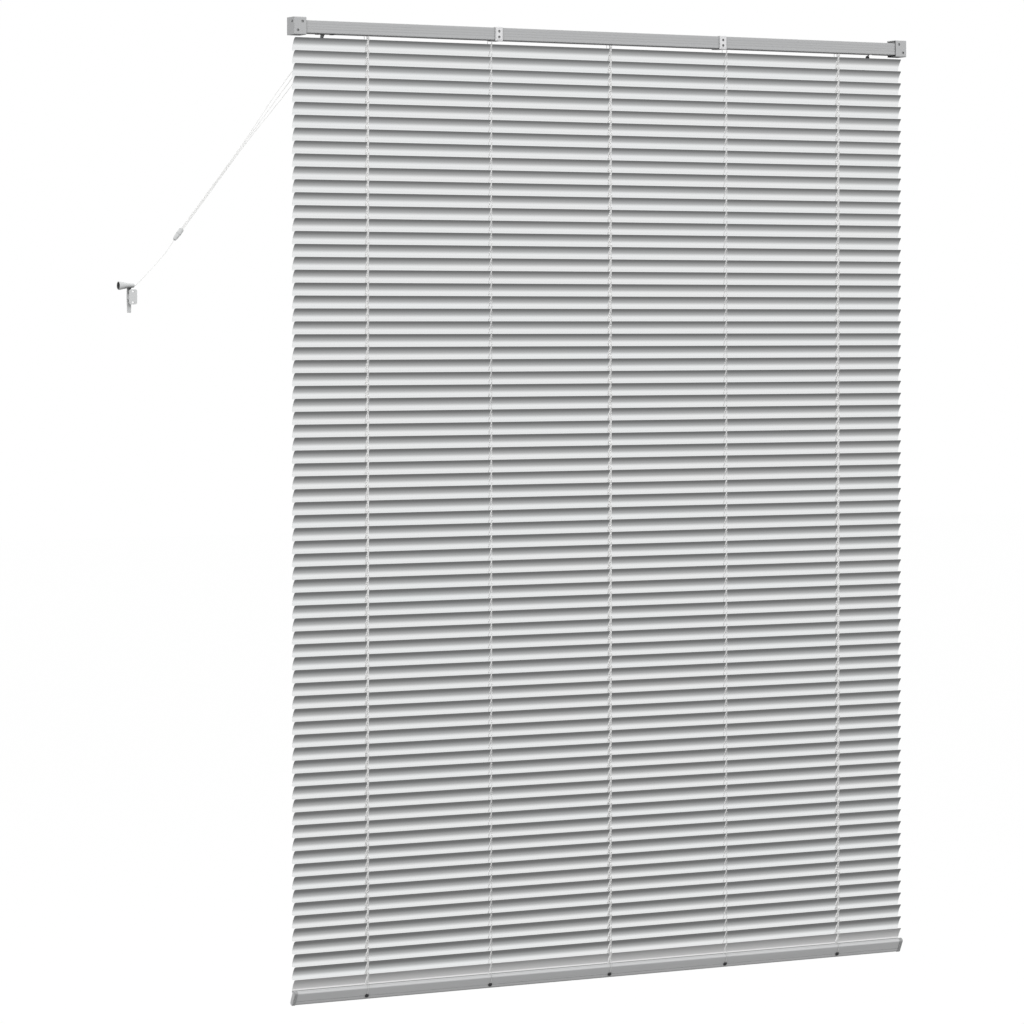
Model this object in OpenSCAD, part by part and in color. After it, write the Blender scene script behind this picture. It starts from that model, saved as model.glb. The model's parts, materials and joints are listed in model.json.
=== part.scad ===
// Venetian blind for a window of about 1.2 m by 1.6 m, slats closed and lowered.
// X runs along the headrail, Y points from the wall into the room, Z is up.
// The origin is in the wall plane, at the middle of the four screw holes of the centre brackets.

/* [Blind] */
// Width over the outer faces of the two end brackets
blind_w = 1190; // [1150:5:1250]
// Number of upper slats, each in a node of its own
tilt_slats = 30; // [24:1:30]
// Number of slats below them, which gather on the bottom rail
lift_slats = 44; // [36:1:44]
// Height from one slat to the next
pitch = 21; // [20:0.5:22]
// Drop from the top of the headrail to the first slat's turning line
first_drop = 38.9; // [38:0.1:42]
// Tilt of the closed slats from level, window edge up
closed_tilt = 64; // [60:1:66]

/* [Slats] */
// Width of a slat
slat_w = 25; // [24:0.5:26]
// Rise of the middle of a slat above its edges
slat_crown = 2.2; // [1.6:0.1:2.6]
// Thickness of a slat
slat_t = 0.3; // [0.2:0.05:0.4]
// How far a slat ends inside the outer face of a bracket
slat_short = 5; // [4:0.5:12]
// Radius of a slat's corners
slat_corner_r = 2; // [1:0.5:6]
// Length of the lift cord's slot, across the slat
slot_l = 14; // [12:0.5:16]
// Width of the lift cord's slot
slot_w = 4; // [3.5:0.5:6]

/* [Headrail] */
// Depth of the headrail, wall to room
head_d = 25; // [25:0.5:28]
// Height of the headrail
head_h = 21; // [21:0.5:24]
// Thickness of the headrail's sheet
head_t = 0.6; // [0.5:0.1:0.8]
// Width of the turned-in lips along its open top
head_lip = 2.6; // [2:0.1:3.2]
// Depth of the three long beads pressed into its sides
bead_depth = 0.35; // [0.2:0.05:0.5]
// Height of the tilt rod above the headrail's floor
rod_rise = 11.4; // [11:0.1:11.6]
// Width across the flats of the six-sided tilt rod
rod_flats = 6; // [5.5:0.1:6.2]

/* [Ladders and cords] */
// Distance of the outermost ladders from the brackets' outer faces
ladder_inset = 137; // [120:1:160]
// Distance of a ladder's strings from the slats' turning line
ladder_reach = 7.7; // [7.5:0.1:8]
// Thickness of a ladder's strings and rungs
string_t = 0.8; // [0.6:0.1:1]
// Diameter of the lift and pull cords
cord_d = 1.4; // [1.2:0.1:1.5]

/* [Bottom rail] */
// Width of the bottom rail
rail_w = 25.4; // [24:0.2:27]
// Thickness of the bottom rail
rail_h = 8; // [8:0.5:10]
// Wall of the bottom rail
rail_t = 0.8; // [0.6:0.1:1]
// Drop from the last slat's turning line to the middle of the rail
rail_drop = 18.9; // [18:0.1:22]
// How far the rail itself ends inside the slats' ends
rail_short = 4.5; // [3:0.5:8]
// Length that an end cap adds to the rail
cap_len = 6; // [4:0.5:8]
// Radius of the buttons that hold the ladders
button_r = 3.4; // [3:0.1:4]

/* [End brackets] */
// Width of an end bracket
box_w = 22; // [21:0.5:26]
// Height of an end bracket above the headrail
box_above = 5.1; // [5:0.1:8]
// Depth of an end bracket below the headrail
box_below = 2.9; // [2:0.1:4]
// Thickness of the brackets' sheet
sheet_t = 1; // [0.8:0.1:1.2]
// Radius of the screw holes
screw_r = 2.25; // [2:0.05:2.4]
// Distance of the upper screw hole from the bracket's outer face
upper_hole_in = 15; // [14.5:0.1:16]
// Distance of the lower screw hole from the bracket's outer face
lower_hole_in = 6.8; // [6:0.1:7]
// Drop from the bracket's top to its upper screw hole
upper_hole_drop = 7.2; // [6.5:0.1:8]
// Drop from the bracket's top to its lower screw hole
lower_hole_drop = 21.7; // [21:0.1:22.5]

/* [Centre brackets] */
// Distance of a centre bracket from the ladder beside it
clip_inset = 11; // [9:0.5:30]
// Width of a centre bracket
clip_w = 14; // [13:0.5:16]
// Thickness of its spring steel
clip_t = 0.8; // [0.6:0.1:1]
// Distance between its two screw holes
clip_holes = 9.5; // [9:0.1:10.5]

/* [Tilter and cord lock] */
// Distance of the tilter from the bracket's outer face
tilter_inset = 61; // [55:1:70]
// Pitch radius of the gear on the tilt rod
gear_r = 5; // [4.8:0.1:5]
// Number of teeth of that gear
gear_teeth = 12; // [10:1:14]
// Distance of the cord lock from the bracket's outer face
lock_inset = 62; // [57:1:70]
// Length of the cord lock
lock_len = 36; // [34:1:40]

/* [Wand] */
// Length of the wand below its hook
wand_len = 750; // [500:10:1000]
// Width of the six-sided wand across its corners
wand_d = 7.4; // [6.5:0.1:8]
// Length of the wand's ferrule
ferrule_len = 14; // [12:0.5:18]
// Length of the wand's grip
grip_len = 62; // [50:1:80]

/* [Cord end] */
// Length of the connector that joins the three pull cords
connector_len = 22; // [20:1:26]
// Length of the tassel
tassel_len = 27; // [24:1:30]
// Radius of the tassel's open end
tassel_r = 7; // [6:0.5:7]
// Height of the cord cleat's wall plate
cleat_h = 24; // [23:1:30]
// Width of the cord cleat's wall plate
cleat_w = 13.6; // [13:0.2:16]
// Height of the cleat's neck
cleat_neck = 10; // [8:0.5:10]
// Distance of the cleat from the left bracket's outer face
cleat_away = 282; // [200:1:320]
// Distance of the cleat's screw holes from its middle
cleat_hole_z = 8.6; // [8:0.1:9]
// Radius of the cleat's screw holes
cleat_hole_r = 1.75; // [1.5:0.05:2]

/* [Hidden] */
gap = 0.3;           // clearance between pieces that are put together
running_gap = 0.08;  // radial clearance of a shaft in its bore
$fn = 32;

half_w = blind_w / 2;
head_top = clip_holes / 2 + 6.25;
head_bottom = head_top - head_h;
head_back = sheet_t + gap;
head_front = head_back + head_d;
axis_y = head_back + head_d / 2;
head_len = blind_w - 2 * (sheet_t + 1);
floor_z = head_bottom + head_t;
rod_z = floor_z + rod_rise;

slat_len = blind_w - 2 * slat_short;
slat_count = tilt_slats + lift_slats;
slat_radius = (slat_w * slat_w / 4 + slat_crown * slat_crown) / (2 * slat_crown);
slat_half_angle = asin(slat_w / 2 / slat_radius);
rail_z = slat_z(slat_count) - rail_drop;

ladder_end = half_w - ladder_inset;
ladder_x = [for (share = [-1, -0.5, 0, 0.5, 1]) share * ladder_end];
clip_x = ladder_end / 2 - clip_inset;
tilter_x = half_w - tilter_inset;
lock_x = half_w - lock_inset;
cord_side = string_t / 2 + cord_d / 2 + 0.15;  // the lift cord passes beside the rungs
lift_x = [for (x = [-ladder_end, 0, ladder_end]) x + cord_side];
rung_drop = slat_t + 0.1 + string_t / 2;

drum_r = ladder_reach - string_t / 2 - 0.05;
drum_flange_r = drum_r + 1;
drum_w = 5;
journal_r = 4.5;
rod_from = -ladder_end - 12;
rod_to = tilter_x + 12;

box_top = head_top + box_above;
box_bottom = head_bottom - box_below;
box_d = head_front + gap + sheet_t + 0.1;
pin_r = 0.7;
knuckle_r = 1.3;
pin_y = box_d - knuckle_r;
pin_z = box_top - sheet_t - 0.4 - knuckle_r;

// The worm stands in the plane of the gear and leans forward past the headrail's lower edge.
worm_lean = 60;
worm_r = 2.12;
worm_throw = 0.72;
worm_gap = gear_r + worm_r + 0.08;
worm_pitch = 360 / gear_teeth * PI / 180 * gear_r;
worm_y = axis_y + worm_gap * sin(worm_lean);
worm_z = rod_z + worm_gap * cos(worm_lean);
stem_r = 1.8;
stem_len = 22.4;
neck_r = 1.1;
ball_r = 2.4;
ball_y = worm_y + stem_len * cos(worm_lean);
ball_z = worm_z - stem_len * sin(worm_lean);
stud_r = 1.1;
stud_head_r = 1.5;
stud_len = 15.6;     // from the middle of the ball to the stud's end
wand_top = ball_z - 9;
wand_swing = 70;     // how far the wand can be lifted into the room

// The three lift cords run side by side over the floor to the lock.
lane_z = floor_z + 2.1;
lanes = [0, -1.8, 1.8];
lock_from = -lock_x - lock_len / 2;
lock_to = -lock_x + lock_len / 2;
outlet = [-lock_x, head_front + 0.3, head_bottom - 4.6];
roller_r = 2.2;
roller_z = lane_z + cord_d / 2 + roller_r + 0.1;
roller_x = -lock_x + 6;
roller_slope = 35;

// Pull cords from the lock's outlet to the connector beside the blind. Each row is a point
// of the middle cord, and how far from it the two outer cords run there.
pull_lean = [-247, 3.4, -316];
pull_across = [0.79, 0, -0.61];
pull_rows = [
    [[0, 0, 0], 1.8], [[-8, 0.8, -10], 2.3], [[-30, 1.7, -38], 4.6], [[-60, 2.2, -77], 6.8],
    [[-90, 2.5, -115], 5.4], [[-120, 2.7, -153.5], 3], [[-150, 2.9, -192], 1.7], [[-215, 3.2, -275], 1.6],
    [pull_lean, 1.6]
];
connector_top = outlet + pull_lean;
tail_from = connector_top + connector_len * unit(pull_lean);
cleat_x = -half_w - cleat_away;
cord_end = [cleat_x + 6, 11, -422];
tail_steps = [[59, 14, 52], [29, 6, 24], [9, 1, 6], [4, 0.2, 2], [2, 0, 0.4], [0, 0, 0]];

function slat_name(i) = str("slat_", i < 10 ? "0" : "", i);
function slat_z(i) = head_top - first_drop - (i - 1) * pitch;
function unit(v) = v / norm(v);
function arc(centre, r, from, to, steps) =
    [for (i = [0:steps]) let (a = from + (to - from) * i / steps) centre + r * [cos(a), sin(a)]];
function round_rect(l, w, r, steps) = concat(
    arc([l / 2 - r, w / 2 - r], r, 0, 90, steps), arc([r - l / 2, w / 2 - r], r, 90, 180, steps),
    arc([r - l / 2, r - w / 2], r, 180, 270, steps), arc([l / 2 - r, r - w / 2], r, 270, 360, steps)
);
function slot_outline(l, w, steps) = concat(
    arc([(l - w) / 2, 0], w / 2, -90, 90, steps), arc([(w - l) / 2, 0], w / 2, 90, 270, steps)
);
// A channel that is open towards +x, with its two back corners rounded.
function channel(d, h, r, steps) = concat(
    [[d, h / 2]], arc([r, h / 2 - r], r, 90, 180, steps),
    arc([r, r - h / 2], r, 180, 270, steps), [[d, -h / 2]]
);

// Extrudes a profile drawn in Y and Z along X, centred on X = 0.
module along_x(length) {
    rotate([90, 0, 90]) linear_extrude(length, center = true) children();
}

module rod_x(r, from, to) {
    translate([from, 0, 0]) rotate([0, 90, 0]) cylinder(r = r, h = to - from);
}

// A round tube swept along points, with one ring of corners at each point.
module swept(points, d, sides = 8) {
    last = len(points) - 1;
    rings = [for (i = [0:last]) let (
        t = unit(points[min(i + 1, last)] - points[max(i - 1, 0)]),
        u = unit(cross(t, [0, 1, 0])),
        v = cross(u, t)
    ) for (k = [0:sides - 1]) points[i] + d / 2 * (cos(360 * k / sides) * u + sin(360 * k / sides) * v)];
    walls = [for (i = [0:last - 1], k = [0:sides - 1]) let (
        a = i * sides + k, b = i * sides + (k + 1) % sides
    ) each [[a, b, a + sides], [b, b + sides, a + sides]]];
    ends = [[for (k = [sides - 1:-1:0]) k], [for (k = [0:sides - 1]) last * sides + k]];
    polyhedron(rings, concat(walls, ends));
}

// ---- Slats ----

slat_profile = concat(
    arc([0, slat_crown - slat_radius], slat_radius, 90 + slat_half_angle, 90 - slat_half_angle, 6),
    arc([0, slat_crown - slat_radius], slat_radius - slat_t, 90 - slat_half_angle, 90 + slat_half_angle, 6)
);

// The waste outside one rounded corner, drawn about the centre of its radius.
module corner_waste(r) {
    linear_extrude(4 * slat_crown, center = true)
        polygon(concat(arc([0, 0], r, 0, 90, 3), [[0, r + 1], [r + 1, r + 1], [r + 1, 0]]));
}

module flat_slat() {
    corner_x = slat_len / 2 - slat_corner_r;
    corner_y = slat_w / 2 - slat_corner_r;
    difference() {
        along_x(slat_len) polygon(slat_profile);
        for (x = lift_x) translate([x, 0, 0])
            linear_extrude(4 * slat_crown, center = true) rotate(90)
                polygon(slot_outline(slot_l, slot_w, 6));
        translate([corner_x, corner_y, 0]) corner_waste(slat_corner_r);
        translate([-corner_x, corner_y, 0]) rotate(90) corner_waste(slat_corner_r);
        translate([-corner_x, -corner_y, 0]) rotate(180) corner_waste(slat_corner_r);
        translate([corner_x, -corner_y, 0]) rotate(270) corner_waste(slat_corner_r);
    }
}

module closed_slat(i) {
    color("gainsboro") translate([0, axis_y, slat_z(i)]) rotate([-closed_tilt, 0, 0]) flat_slat();
}

module slats_lower() {
    for (i = [tilt_slats + 1:slat_count]) closed_slat(i);
}

// ---- Headrail ----

bead_z = [for (k = [1:3]) -head_h * (0.1 + 0.2 * k)];
function beads(y, s) = [for (z = bead_z) each [[y, z + 0.8], [y + s * bead_depth, z], [y, z - 0.8]]];
function turned(list) = [for (i = [len(list) - 1:-1:0]) list[i]];

module head_profile() {
    d = head_d / 2;
    t = head_t;
    outside = concat(
        [[head_lip - d, 0]], arc([1 - d, -1], 1, 90, 180, 3), beads(-d, 1),
        arc([1.6 - d, 1.6 - head_h], 1.6, 180, 270, 4), arc([d - 1.6, 1.6 - head_h], 1.6, 270, 360, 4),
        turned(beads(d, -1)), arc([d - 1, -1], 1, 0, 90, 3), [[d - head_lip, 0]]
    );
    inside = concat(
        [[d - head_lip, -t]], arc([d - 1, -1], 1 - t, 90, 0, 3), beads(d - t, -1),
        arc([d - 1.6, 1.6 - head_h], 1.6 - t, 360, 270, 4), arc([1.6 - d, 1.6 - head_h], 1.6 - t, 270, 180, 4),
        turned(beads(t - d, 1)), arc([1 - d, -1], 1 - t, 180, 90, 3), [[head_lip - d, -t]]
    );
    polygon(concat(outside, inside));
}

// A cut through the headrail's lower front edge, where a snout leaves it.
module snout_cut(x, width, height) {
    translate([x - width / 2, head_front - 10, head_bottom - 1]) cube([width, 12, height + 1]);
}

module headrail() {
    color("silver") difference() {
        translate([0, axis_y, head_top]) along_x(head_len) head_profile();
        for (x = ladder_x) translate([x, axis_y, floor_z - 1.5])
            linear_extrude(3) polygon(round_rect(cradle_l + gap, cradle_w + gap, 2, 3));
        for (x = [lock_from + 5, lock_to - 5]) translate([x, axis_y, floor_z - 1.5])
            linear_extrude(3) square([6 + gap, 10 + gap], center = true);
        snout_cut(-lock_x, 12, 10);
        snout_cut(tilter_x, 12, 12.6);
    }
}

// ---- Brackets ----

module screw_hole_y(x, z) {
    translate([x, -1, z]) rotate([-90, 0, 0]) cylinder(r = screw_r, h = sheet_t + 2);
}

// The right end bracket: a sheet metal box, open towards the blind and towards the room.
module end_bracket() {
    h = box_top - box_bottom;
    mid_z = (box_top + box_bottom) / 2;
    flange_d = head_front + 0.1;
    difference() {
        union() {
            translate([half_w - box_w / 2, 0, mid_z]) along_x(box_w) difference() {
                polygon(channel(flange_d, h, 1.6, 3));
                translate([sheet_t, 0]) polygon(channel(flange_d, h - 2 * sheet_t, 0.6, 3));
            }
            translate([half_w - sheet_t / 2, 0, mid_z]) along_x(sheet_t) polygon(channel(box_d, h, 1.6, 3));
            translate([half_w - box_w, 0, box_top - sheet_t]) translate([0, flange_d - 1, 0])
                cube([box_w, box_d - flange_d + 1, sheet_t]);
            // ear that holds the inner end of the gate's pin
            translate([half_w - box_w, pin_y - knuckle_r, pin_z - knuckle_r])
                cube([0.8, 2 * knuckle_r, box_top - sheet_t / 2 - pin_z + knuckle_r]);
            // pressed seat under the headrail
            translate([half_w - box_w / 2 - 1, axis_y, box_bottom + sheet_t / 2])
                linear_extrude(head_bottom - box_bottom - sheet_t / 2 - 0.05)
                    polygon(round_rect(box_w - 10, head_d - 9, 2, 3));
            translate([0, pin_y, pin_z]) rod_x(pin_r, half_w - box_w, half_w);
        }
        screw_hole_y(half_w - upper_hole_in, box_top - upper_hole_drop);
        screw_hole_y(half_w - lower_hole_in, box_top - lower_hole_drop);
        translate([0, 8, box_top - upper_hole_drop]) rod_x(screw_r, half_w - sheet_t - 1, half_w + 1);
        for (p = [[upper_hole_in, 18], [lower_hole_in, 8]])
            translate([half_w - p[0], p[1], box_top - sheet_t - 1]) cylinder(r = screw_r, h = sheet_t + 2);
    }
}

// The gate that shuts the box towards the room, hanging from its pin.
module gate() {
    from = half_w - box_w + 0.8 + gap;
    to = half_w - sheet_t - gap;
    translate([0, pin_y, pin_z]) difference() {
        union() {
            rod_x(knuckle_r, from, to);
            translate([from, knuckle_r - sheet_t, box_bottom + 0.2 - pin_z])
                cube([to - from, sheet_t, pin_z - box_bottom - 0.2]);
            translate([(from + to) / 2, knuckle_r, box_bottom + 1.2 - pin_z]) rotate([90, 0, 0])
                linear_extrude(sheet_t, center = true) square([10, 2], center = true);
            translate([(from + to) / 2 - 4, knuckle_r - sheet_t / 2, box_bottom + 0.2 - pin_z])
                cube([8, 2.5, sheet_t]);
        }
        rod_x(pin_r + 0.05, from - 1, to + 1);
    }
}

module bracket_right() {
    color("lightgray") end_bracket();
}

module bracket_left() {
    color("lightgray") mirror([1, 0, 0]) end_bracket();
}

module gate_right() {
    color("silver") gate();
}

module gate_left() {
    color("silver") mirror([1, 0, 0]) gate();
}

// A spring clip round the headrail, in Y and Z.
module clip_profile() {
    back = head_back - 0.1 - clip_t;
    front = head_front + 0.1;
    top = head_top + 0.1;
    bottom = head_bottom - 0.1;
    t = clip_t;
    polygon([
        [back, bottom - t], [front + t, bottom - t], [front + t, bottom + 2.6], [front + t + 1.4, bottom + 4],
        [front + 1.4 - 0.4, bottom + 4.4], [front, bottom + 2.8], [front, bottom],
        [back + t, bottom], [back + t, top], [front, top], [front, top - 2.8], [front + 1, top - 4.4],
        [front + t + 1.4, top - 4], [front + t, top - 2.6], [front + t, top + t], [back, top + t]
    ]);
}

module centre_brackets() {
    color("whitesmoke") for (x = [-clip_x, clip_x]) difference() {
        union() {
            translate([x, 0, 0]) along_x(clip_w) clip_profile();
            // pressed boss that stands on the wall
            translate([x, 0, 0]) rotate([-90, 0, 0]) linear_extrude(head_back - clip_t / 2)
                polygon(round_rect(clip_w - 3, clip_holes + 8, 2.5, 4));
        }
        for (z = [-clip_holes / 2, clip_holes / 2]) translate([x, -1, z])
            rotate([-90, 0, 0]) cylinder(r = screw_r, h = head_back + 2);
    }
}

// ---- Tilting gear in the headrail ----

module tilt_rod() {
    color("darkgray") translate([(rod_from + rod_to) / 2, axis_y, rod_z]) along_x(rod_to - rod_from)
        circle(d = rod_flats / cos(30), $fn = 6);
}

module hex_bore(length) {
    along_x(length) circle(d = (rod_flats + 0.1) / cos(30), $fn = 6);
}

// Drums that wind the ladders' strings: one at each ladder, keyed on the rod.
module ladder_drums() {
    half = drum_w / 2;
    color("whitesmoke") for (x = ladder_x) translate([x, axis_y, rod_z]) difference() {
        union() {
            rod_x(drum_r, -half, half);
            rod_x(drum_flange_r, -half - 1, -half);
            rod_x(drum_flange_r, half, half + 1);
            rod_x(journal_r, -half - 4, half + 4);
        }
        hex_bore(drum_w + 10);
    }
}

cradle_l = 13;
cradle_w = 20;
cheek_from = drum_w / 2 + 1 + gap;
cheek_t = 1.6;

// Saddles that carry the drums and guide the cords out of the headrail's floor.
module drum_cradles() {
    color("white") for (x = ladder_x) translate([x, axis_y, 0]) difference() {
        union() {
            translate([0, 0, head_bottom]) linear_extrude(head_t + 0.5)
                polygon(round_rect(cradle_l, cradle_w, 2, 3));
            translate([0, 0, floor_z]) linear_extrude(1)
                polygon(round_rect(cradle_l + 4, cradle_w + 2, 2, 3));
            for (s = [-1, 1]) translate([s * (cheek_from + cheek_t / 2), 0, 0]) along_x(cheek_t)
                polygon(concat(
                    [[-8, floor_z + 0.5], [8, floor_z + 0.5]], arc([0, rod_z], journal_r + 2, 0, 180, 8)
                ));
        }
        translate([0, 0, rod_z]) rod_x(journal_r + running_gap, -cradle_l, cradle_l);
        for (s = [-1, 1]) translate([0, s * ladder_reach, floor_z - 3])
            linear_extrude(6) square([3, string_t + 1.6], center = true);
        translate([cord_side, 0, floor_z - 3]) cylinder(r = 2, h = 6);
        translate([-cradle_l, -3.4, floor_z + 1]) cube([2 * cradle_l, 6.8, 2.3]);
    }
}

module tilt_gear() {
    color("khaki") translate([tilter_x, axis_y, rod_z]) difference() {
        union() {
            along_x(4) polygon([for (i = [0:gear_teeth * 8 - 1]) let (a = 360 * i / (gear_teeth * 8))
                (gear_r - 0.1 - 0.6 * cos(gear_teeth * (a - 90 + worm_lean))) * [cos(a), sin(a)]]);
            rod_x(journal_r - 0.3, -6, 6);
        }
        hex_bore(20);
    }
}

// Places things on the worm's axis: z runs down the stem, and y points at the gear.
module on_worm() {
    translate([tilter_x, worm_y, worm_z]) rotate([-worm_lean - 90, 0, 0]) children();
}

module tilter_worm() {
    color("dimgray") on_worm() {
        linear_extrude(4 * worm_pitch, center = true, twist = 4 * 360, slices = 32)
            translate([0, worm_throw]) circle(r = worm_r, $fn = 12);
        translate([0, 0, 2 * worm_pitch]) cylinder(r = stem_r, h = stem_len - 2 * worm_pitch - 5);
        translate([0, 0, stem_len - 5.5]) cylinder(r = neck_r, h = 5);
        translate([0, 0, stem_len]) sphere(r = ball_r, $fn = 20);
    }
}

module tilter_housing() {
    box_from = floor_z + 0.1;
    color("white") difference() {
        union() {
            translate([tilter_x, axis_y + 0.4, box_from]) linear_extrude(head_h - head_t - 1.9)
                polygon(round_rect(20, head_d - 2 * head_t - 3, 2, 3));
            on_worm() translate([0, 0, 6]) cylinder(r = 3.6, h = 9.5);
        }
        translate([tilter_x, axis_y, rod_z]) {
            rod_x(gear_r + 1.1, -2.4, 2.4);
            rod_x(journal_r - 0.3 + running_gap, -20, 20);
        }
        on_worm() translate([0, 0, -2 * worm_pitch - 0.3]) cylinder(r = 3.1, h = 4 * worm_pitch + 0.6);
        on_worm() cylinder(r = stem_r + running_gap, h = stem_len);
    }
}

// ---- Wand ----

// Clip that snaps over the ball on the worm's stem. The neck runs in its slot as the wand is lifted.
module wand_hook() {
    cup_r = ball_r + running_gap;
    from = 90 - worm_lean + 28;
    to = 90 - worm_lean - wand_swing - 28;
    color("silver") translate([tilter_x, ball_y, ball_z]) {
        difference() {
            union() {
                sphere(r = cup_r + 0.9);
                translate([0, 0, -5]) cylinder(r = 2.2, h = 3);
            }
            sphere(r = cup_r);
            along_x(2 * neck_r + 2 * gap) polygon(concat(
                [[0, 0]], [for (k = [0:4]) let (a = from + (to - from) * k / 4) 7 * [-sin(a), cos(a)]]
            ));
        }
        translate([0, 0, -stud_len + 0.6]) cylinder(r = stud_r, h = stud_len - 5);
        translate([0, 0, -stud_len]) cylinder(r = stud_head_r, h = 0.8);
    }
}

// Six-sided rod with a turned ferrule at the top and a swelling grip at the foot.
module wand() {
    head_from = ball_z - stud_len - wand_top;
    color("lightcyan") translate([tilter_x, ball_y, wand_top]) {
        difference() {
            union() {
                translate([0, 0, -ferrule_len]) cylinder(r = wand_d / 2 + 0.6, h = ferrule_len);
                translate([0, 0, grip_len - 2 - wand_len])
                    cylinder(d = wand_d, h = wand_len - grip_len - ferrule_len + 4, $fn = 6);
            }
            translate([0, 0, head_from + 1]) cylinder(r = stud_r + running_gap, h = stud_len);
            translate([0, 0, head_from - 1.5]) cylinder(r = stud_head_r + gap, h = 3);
        }
        translate([0, 0, -wand_len]) rotate_extrude() polygon(concat(
            [[0, 0], [3.5, 0]], arc([3.5, 1.5], 1.5, 270, 360, 3),
            [[4.4, 20], [3.9, grip_len - 17], [3.6, grip_len], [0, grip_len]]
        ));
    }
}

// ---- Cord lock ----

module cord_lock() {
    inner_w = 8;
    wall_h = 12;
    color("white") difference() {
        union() {
            translate([-lock_x, axis_y + 0.2, floor_z + 0.05]) linear_extrude(wall_h)
                polygon(round_rect(lock_len, 16, 2, 3));
            for (x = [lock_from + 5, lock_to - 5]) translate([x, axis_y, floor_z - head_t - 1])
                linear_extrude(head_t + 2) square([6, 10], center = true);
            // snout through the headrail's lower front edge
            translate(outlet) rotate([36, 0, 0]) cylinder(r = 4.4, h = 13);
            translate([-lock_x, head_front - 8, floor_z + 0.05]) linear_extrude(7) square([10, 8], center = true);
        }
        // cord way from the blind to the middle, open at the top
        translate([-lock_x - 6, axis_y - inner_w / 2, floor_z + 1]) cube([lock_len, inner_w, wall_h]);
        translate([-lock_x - 6, axis_y - inner_w / 2, floor_z + 1]) cube([9, 12, 5]);
        translate(outlet) rotate([36, 0, 0]) translate([0, 0, -1]) cylinder(r = 3, h = 12);
        translate([roller_x, axis_y, roller_z]) rotate([90, 0, 0]) linear_extrude(13, center = true)
            rotate(90 - roller_slope) translate([2.6, 0]) polygon(slot_outline(7.6, 2.6, 6));
    }
}

module lock_roller() {
    color("goldenrod") translate([roller_x, axis_y, roller_z]) rotate([90, 0, 0]) {
        cylinder(r = 1.15, h = 12, center = true);
        linear_extrude(7, center = true) polygon([for (i = [0:47]) let (a = 7.5 * i)
            (roller_r - (i % 2) * 0.2) * [cos(a), sin(a)]]);
    }
}

// ---- Ladders and cords ----

// Height of the line of a rung's face at distance y from the turning line.
function rung_z(i, y, down) =
    slat_z(i) - (rung_drop + down + y * sin(closed_tilt)) / cos(closed_tilt);

// A ladder from rung `first` to rung `last`: two strings joined by slanting rungs.
module ladder(first, last, top_in, top_out, foot_in, foot_out) {
    far = ladder_reach + string_t / 2;
    near = ladder_reach - string_t / 2;
    half = string_t / 2;
    outline = [
        [-far, top_in], [-far, foot_in], [-near, foot_in], [-near, rung_z(last, -near, half)],
        [near, rung_z(last, near, half)], [near, foot_out], [far, foot_out], [far, top_out],
        [near, top_out], [near, rung_z(first, near, -half)], [-near, rung_z(first, -near, -half)],
        [-near, top_in]
    ];
    openings = [for (i = [first:last - 1]) [
        [-near, rung_z(i, -near, half)], [near, rung_z(i, near, half)],
        [near, rung_z(i + 1, near, -half)], [-near, rung_z(i + 1, -near, -half)]
    ]];
    corners = concat(outline, [for (o = openings) each o]);
    n = len(outline);
    paths = concat(
        [[for (k = [0:n - 1]) k]],
        [for (j = [0:len(openings) - 1]) [for (k = [0:3]) n + 4 * j + k]]
    );
    color("white") for (x = ladder_x) translate([x, axis_y, 0]) along_x(string_t) polygon(corners, paths);
}

// Where the strings of the upper ladders end and those of the lower ones begin.
function split_z(y) = (rung_z(tilt_slats, y, 0) + rung_z(tilt_slats + 1, y, 0)) / 2;

module ladders_upper() {
    ladder(1, tilt_slats, rod_z, rod_z, split_z(-ladder_reach), split_z(ladder_reach));
}

// Height of the bottom rail's face that a string at distance y lands on.
function rail_face_z(y) = rail_z + (rail_h / 2 - y * sin(closed_tilt)) / cos(closed_tilt);

module ladders_lower() {
    near_foot = rail_z + (rail_w / 2 - 2) * sin(closed_tilt) + 0.6;
    ladder(
        tilt_slats + 1, slat_count, split_z(-ladder_reach), split_z(ladder_reach),
        near_foot, rail_face_z(ladder_reach - string_t / 2) + 0.3
    );
}

module lift_cords() {
    foot = rail_face_z(-cord_d / 2) + 0.2;
    color("white") for (k = [0:2]) let (x = lift_x[k], lane = axis_y + lanes[k]) swept([
        [-lock_x, lane, lane_z], [x - 8, lane, lane_z], [x - 2.5, axis_y + lanes[k] / 4, lane_z],
        [x - 0.6, axis_y, lane_z - 0.7], [x, axis_y, lane_z - 2.6], [x, axis_y, foot]
    ], cord_d);
}

module pull_cords() {
    color("white") for (side = [-1:1])
        swept([for (row = pull_rows) outlet + row[0] + side * row[1] * pull_across], cord_d);
}

module cord_connector() {
    lean = atan2(pull_lean[0], pull_lean[2]);
    color("lightgray") translate(connector_top) rotate([0, lean, 0])
        rotate_extrude() polygon(concat(
            [[0, 0], [2.6, 0]], arc([3.2, 1.2], 0.8, 270, 360, 3), [[4, 6], [4.3, 9]],
            [[4.3, 10], [4, 10.3], [3.6, connector_len - 5]],
            arc([1.6, connector_len - 1], 1, 0, 90, 3), [[0, connector_len]]
        ));
}

module tail_cord() {
    color("white") swept(concat(
        [tail_from, tail_from + [-3.4, -0.4, -4.4]], [for (step = tail_steps) cord_end + step]
    ), cord_d);
}

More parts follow.
